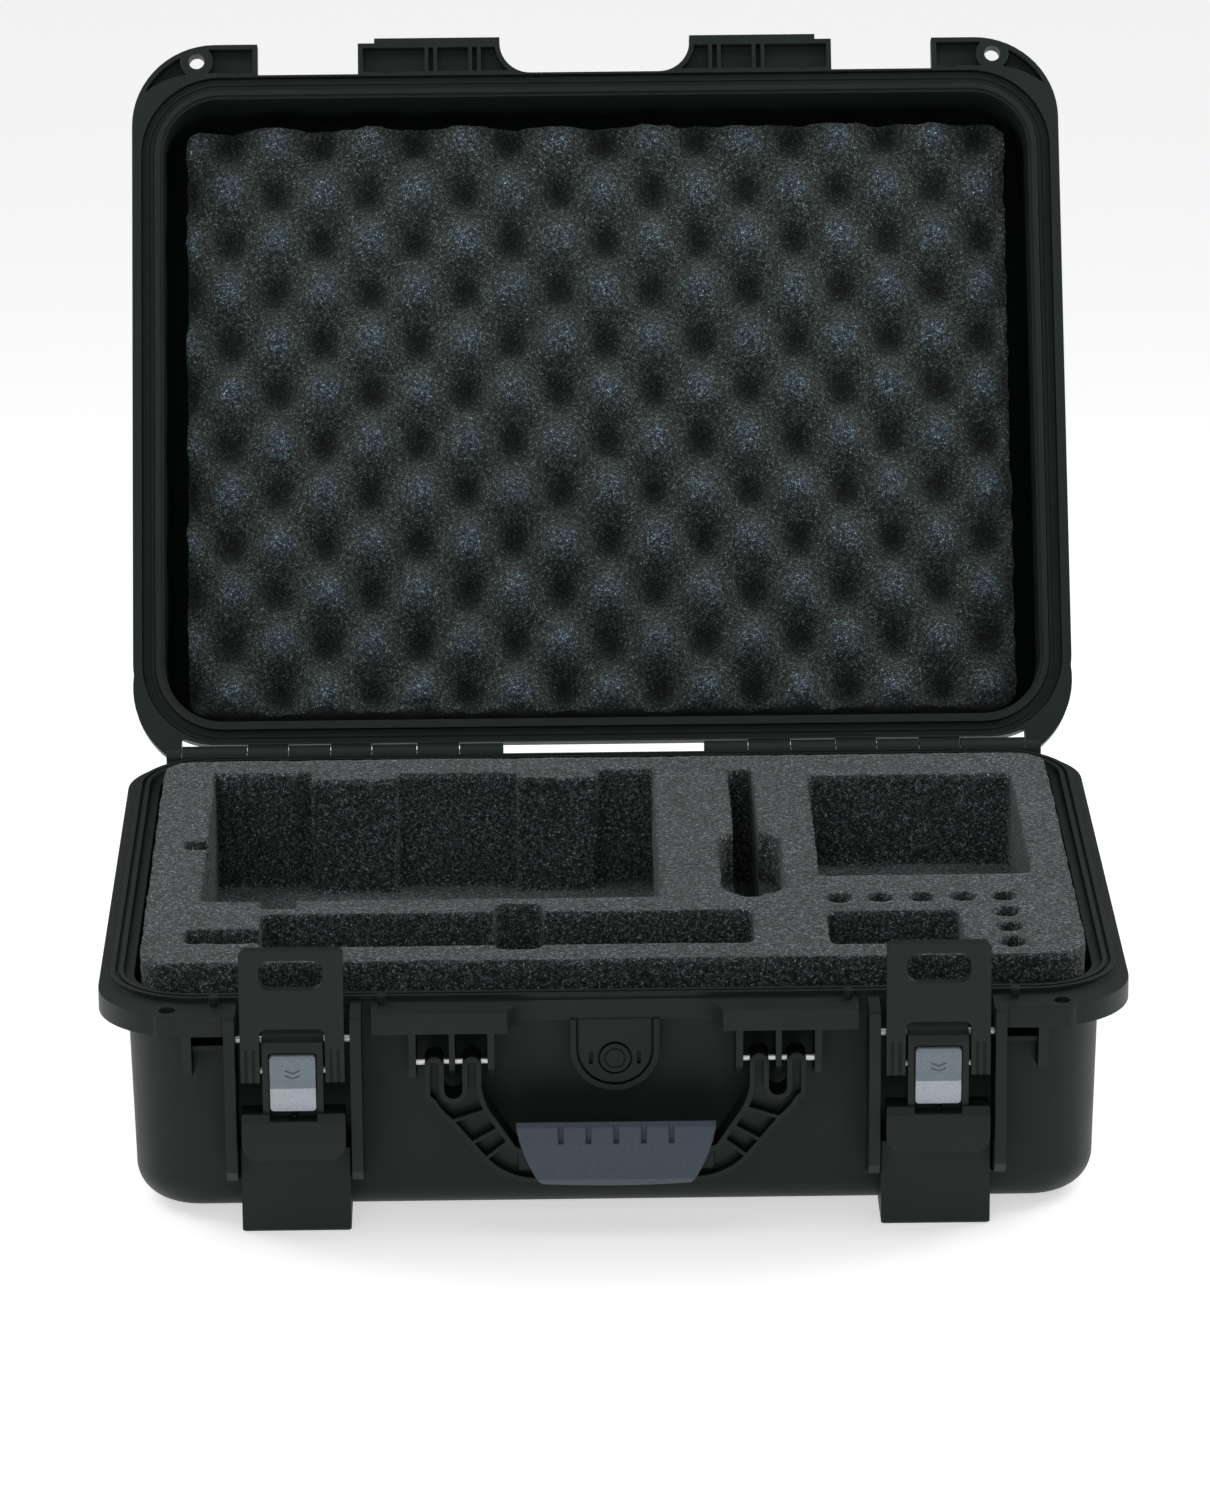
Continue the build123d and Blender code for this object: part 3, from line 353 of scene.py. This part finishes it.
INSERT_LOW, INSERT_HIGH = (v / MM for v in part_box("base_foam_insert"))
INSERT_TOP = INSERT_HIGH.z - PARTING_Z
INSERT_UNDER = INSERT_LOW.z - PARTING_Z
INSERT_OUTLINE = (INSERT_LOW.x, INSERT_HIGH.x, INSERT_LOW.y - HINGE_Y, INSERT_HIGH.y - HINGE_Y, 14)

DEEP = INSERT_TOP - INSERT_UNDER - 6     # the deepest pockets leave 6 mm of foam
CUT_STEP = 3.0                           # walls of the cut-outs are divided this often

# (x low, x high, y low, y high, corner radius, depth)
POCKETS = [
    (-173, 21, -216, -58, 3, DEEP), (-173, -130, -70, -48, 1.5, DEEP), (-92, -39, -70, -51, 1.5, DEEP),
    (-4, 21, -70, -48, 1.5, DEEP), (-183, -172, -150, -139, 4, 20), (-148, -132, -226, -215, 4, 24),
    (-178, -146, -267, -250, 4, 16), (-147, 59, -273, -233, 4, 27), (-49, -28.5, -278, -223, 6, 36),
    (54, 65, -217, -51, 3.6, DEEP), (89, 179, -192, -60, 4, 42), (90, 146, -276.5, -236.5, 4, 26),
    (47, 74, -215, -135, 13, 22),
]
WELLS = [(96 + 17.35 * i, -220) for i in range(5)] + [(165.4, -239 - 18.2 * i) for i in range(3)]
WELL_RADIUS = 5.6
WELL_DEPTH = 32
FOLDS = (-171, -134, -51)    # x low, x high and y of the ribbed back wall in the large pocket
FOLD_PITCH = 6.1


def cut_outs():
    """Every cut-out as (distance function, depth)."""
    found = []
    for *shape, depth in POCKETS:
        found.append((lambda x, y, s=tuple(shape): box_distance(x, y, s), depth))
    for centre in WELLS:
        found.append((lambda x, y, c=centre: math.hypot(x - c[0], y - c[1]) - WELL_RADIUS, WELL_DEPTH))
    return found


def cut_out_foam():
    """The insert: a grid with its cut-outs sunk in steps, its sides dropped, and its skin roughened."""
    step = 2.0
    marks_x = [v for p in POCKETS for v in p[:2]]
    marks_y = [v for p in POCKETS for v in p[2:4]]
    x_low, x_high, y_low, y_high, _ = INSERT_OUTLINE
    sheet = sheet_grid(grid_lines(x_low, x_high, marks_x, step), grid_lines(y_low, y_high, marks_y, step))
    trim_to(sheet, INSERT_OUTLINE, step)
    bmesh.ops.translate(sheet, verts=sheet.verts, vec=(0, 0, INSERT_TOP))
    cuts = cut_outs()
    depth_of = {}
    for face in sheet.faces:
        x, y = face.calc_center_median().xy
        inside = [(depth, k) for k, (far, depth) in enumerate(cuts) if far(x, y) < 0]
        depth_of[face] = max(inside, default=(0, -1))
    for vert in sheet.verts:
        levels = {depth_of[f] for f in vert.link_faces}
        if len({d for d, _ in levels}) > 1:
            deepest = max(levels)[1]
            pull_to_edge(vert, cuts[deepest][0], step)
    floors = {f: d for f, (d, _) in depth_of.items() if d}
    reached = 0
    rows = range(1, math.ceil(DEEP / CUT_STEP))
    stops = sorted({CUT_STEP * i for i in rows} | {d for _, d in cuts})
    for stop in stops:
        going = [f for f, d in floors.items() if d >= stop]
        if not going:
            break
        depths = {tuple(round(c, 3) for c in f.calc_center_median().xy): floors[f] for f in going}
        for f in going:
            floors.pop(f)
        made = bmesh.ops.extrude_face_region(sheet, geom=going)["geom"]
        bmesh.ops.delete(sheet, geom=[f for f in going if f.is_valid], context="FACES")
        made = [g for g in made if g.is_valid]
        bmesh.ops.translate(sheet, verts=[g for g in made if isinstance(g, bmesh.types.BMVert)],
                            vec=(0, 0, reached - stop))
        for g in made:
            if isinstance(g, bmesh.types.BMFace):
                key = tuple(round(c, 3) for c in g.calc_center_median().xy)
                floors[g] = depths.get(key, stop)
        reached = stop
    drop_border(sheet, [INSERT_TOP - CUT_STEP * i for i in range(1, 6)] + [INSERT_UNDER])
    for vert in sheet.verts:
        x, y, z = vert.co
        if z < INSERT_UNDER + 0.5:
            continue
        if z < INSERT_TOP - 2 and FOLDS[0] < x < FOLDS[1] and y > FOLDS[2]:
            vert.co.y -= 1.3 + 1.3 * math.sin(x * 2 * math.pi / FOLD_PITCH)
        vert.co += wobble((x, y, z), 3.2, 0.42) + wobble((x, y, z), 21, 0.55)
        vert.co.z = min(vert.co.z, INSERT_TOP)
    return sheet


insert = finish_piece("foam_insert", cut_out_foam(), "case_base", "base_foam")
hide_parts("base_foam_insert")


def lower_foam():
    """The plain lower layer, from its own solid."""
    pad = bmesh.new()
    pad.from_mesh(nodes["base_foam_pad"].data)
    bmesh.ops.remove_doubles(pad, verts=pad.verts, dist=0.01 * MM)
    for vert in pad.verts:
        vert.co = vert.co / MM - Vector((0, HINGE_Y, PARTING_Z))
    bmesh.ops.dissolve_limit(pad, angle_limit=math.radians(2), verts=pad.verts, edges=pad.edges)
    return pad


pad = finish_piece("foam_pad", lower_foam(), "case_base", "base_foam", smooth=False)
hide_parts("base_foam_pad")


# ---------------------------------------------------------------- egg-crate foam in the lid

EGG_HALF = 188.5
EGG_NEAR, EGG_FAR = 21.5, 296.0  # along the lid from the hinge
EGG_PEAK, EGG_BACK = 11.0, 48.2  # height above the parting plane with the lid closed
EGG_DIP = 13.0
EGG_PITCH, EGG_ROWS = 43.0, 47.0
EGG_START = (-17.7, 289.0)       # one peak
EGG_ROUND = 41.0                 # above this the pad narrows to fit the lid's rounded top
EGG_BORDER = 6.0                 # strip along the sides that is pulled in a little


def egg_height(x, along):
    """1 at a peak, 0 in a hollow, from a place across the lid and along it from the hinge."""
    a = math.cos(2 * math.pi * (x - EGG_START[0]) / EGG_PITCH)
    b = math.cos(2 * math.pi * (along - EGG_START[1]) / EGG_ROWS)
    return (a * b + 1) / 2


def egg_crate_foam():
    """The convoluted pad, drawn with the lid closed and turned to the open stop."""
    step = 2.2
    middle = -(EGG_NEAR + EGG_FAR) / 2
    outline = (-EGG_HALF, EGG_HALF, -EGG_FAR, -EGG_NEAR, 8)
    sheet = sheet_grid(grid_lines(-EGG_HALF, EGG_HALF, [], step), grid_lines(-EGG_FAR, -EGG_NEAR, [], step))
    trim_to(sheet, outline, step)

    def shape_at(vert, height):
        if height > EGG_ROUND:
            inset = (height - EGG_ROUND) ** 1.45 * 0.6
            half = (EGG_FAR - EGG_NEAR) / 2
            vert.co.x *= (EGG_HALF - inset) / EGG_HALF
            vert.co.y = middle + (vert.co.y - middle) * (half - inset) / half

    for vert in sheet.verts:
        vert.co.z = 0
    heights = [EGG_PEAK + EGG_DIP + 4, 36, 40, 44, EGG_BACK]
    drop_border(sheet, heights, shape_at)
    peak = sheet.verts.layers.float.new("peak")
    for vert in sheet.verts:
        x, y, z = vert.co
        lift = egg_height(x, -y)
        if z == 0:
            sway = wobble((x, y, 0), 28, 1.6)
            lift = egg_height(x + sway.x, -y + sway.y)
            vert[peak] = lift
            z = EGG_PEAK + EGG_DIP * (1 - lift) + 1.4 + 1.4 * wobble((x, y, 5), 33, 1).x
            vert.co.z = max(z, EGG_PEAK)
            vert.co += wobble((x, y, z), 3.0, 0.45)
        else:
            # the pad's sides take a hollow's value, so they get the painted shade of the hollows
            vert[peak] = 0.12
        if z < 40:
            pull = max(0.9 + 1.5 * wobble((x / 9, y / 9, 2), 1, 1).y, 0)
            vert.co.x -= math.copysign(pull, x) if abs(x) > EGG_HALF - EGG_BORDER else 0
            vert.co.y += pull if y < -EGG_FAR + EGG_BORDER else 0
            vert.co.y -= pull if y > -EGG_NEAR - EGG_BORDER else 0
    turn = Matrix.Rotation(-LID_OPEN, 4, "X")
    bmesh.ops.transform(sheet, matrix=turn, verts=sheet.verts)
    return sheet


egg = finish_piece("lid_foam_convoluted", egg_crate_foam(), "lid", "lid_foam")
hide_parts("lid_foam")


# ---------------------------------------------------------------- floor, light and camera

def studio_floor():
    """A wide pale sheet that mirrors the case a little."""
    sheet = bmesh.new()
    bmesh.ops.create_grid(sheet, x_segments=1, y_segments=1, size=12)
    mesh = bpy.data.meshes.new("floor")
    sheet.to_mesh(mesh)
    sheet.free()
    floor = bpy.data.objects.new("floor", mesh)
    bpy.context.scene.collection.objects.link(floor)
    material, tree, shader, place = start_material("floor_sheet", 0.1, 0.9)
    shader.inputs["Base Color"].default_value = (0.85, 0.85, 0.85, 1)
    shader.inputs["Emission Color"].default_value = (1, 1, 1, 1)
    shader.inputs["Emission Strength"].default_value = 0.55
    mesh.materials.append(material)


def soft_light(name, place, aim, size, power):
    """A square soft box that faces a point."""
    lamp = bpy.data.lights.new(name, "AREA")
    lamp.shape = "RECTANGLE"
    lamp.size, lamp.size_y = size
    lamp.energy = power
    holder = bpy.data.objects.new(name, lamp)
    holder.location = place
    holder.rotation_euler = (Vector(aim) - Vector(place)).to_track_quat("-Z", "Y").to_euler()
    bpy.context.scene.collection.objects.link(holder)


def studio_world():
    """An even white room."""
    world = bpy.data.worlds.new("studio")
    bpy.context.scene.world = world
    world.use_nodes = True
    back = world.node_tree.nodes["Background"]
    back.inputs["Color"].default_value = (1, 1, 1, 1)
    back.inputs["Strength"].default_value = 0.34


def studio_camera():
    """A long lens, looking a little down on the case from the front."""
    down, turn, roll = math.radians(18.58), math.radians(0.66), math.radians(-0.45)
    ahead = Vector((math.sin(turn) * math.cos(down), math.cos(turn) * math.cos(down), -math.sin(down)))
    level = Vector((math.cos(turn), -math.sin(turn), 0))
    above = level.cross(ahead)
    right = math.cos(roll) * level + math.sin(roll) * above
    up = -math.sin(roll) * level + math.cos(roll) * above
    lens = bpy.data.cameras.new("camera")
    lens.lens = 170.4
    lens.sensor_width = 36
    lens.clip_end = 50
    camera = bpy.data.objects.new("camera", lens)
    facing = Matrix((right, up, -ahead)).transposed().to_4x4()
    camera.matrix_world = Matrix.Translation((-0.0344, -2.9554, 1.1183)) @ facing
    bpy.context.scene.collection.objects.link(camera)
    bpy.context.scene.camera = camera


studio_floor()
studio_world()
soft_light("top", (0, -0.6, 2.4), (0, 0, 0.1), (2.6, 1.2), 9)
soft_light("front", (-0.5, -3.2, 1.3), (0, 0, 0.15), (2.2, 1.2), 17)
soft_light("left", (-0.75, 0.1, 0.6), (-0.2, -0.05, 0.1), (0.4, 0.7), 4.2)
soft_light("right", (0.75, 0.1, 0.6), (0.2, -0.05, 0.1), (0.4, 0.7), 4.6)
studio_camera()
bpy.context.scene.view_settings.view_transform = "Standard"

bpy.context.view_layer.update()
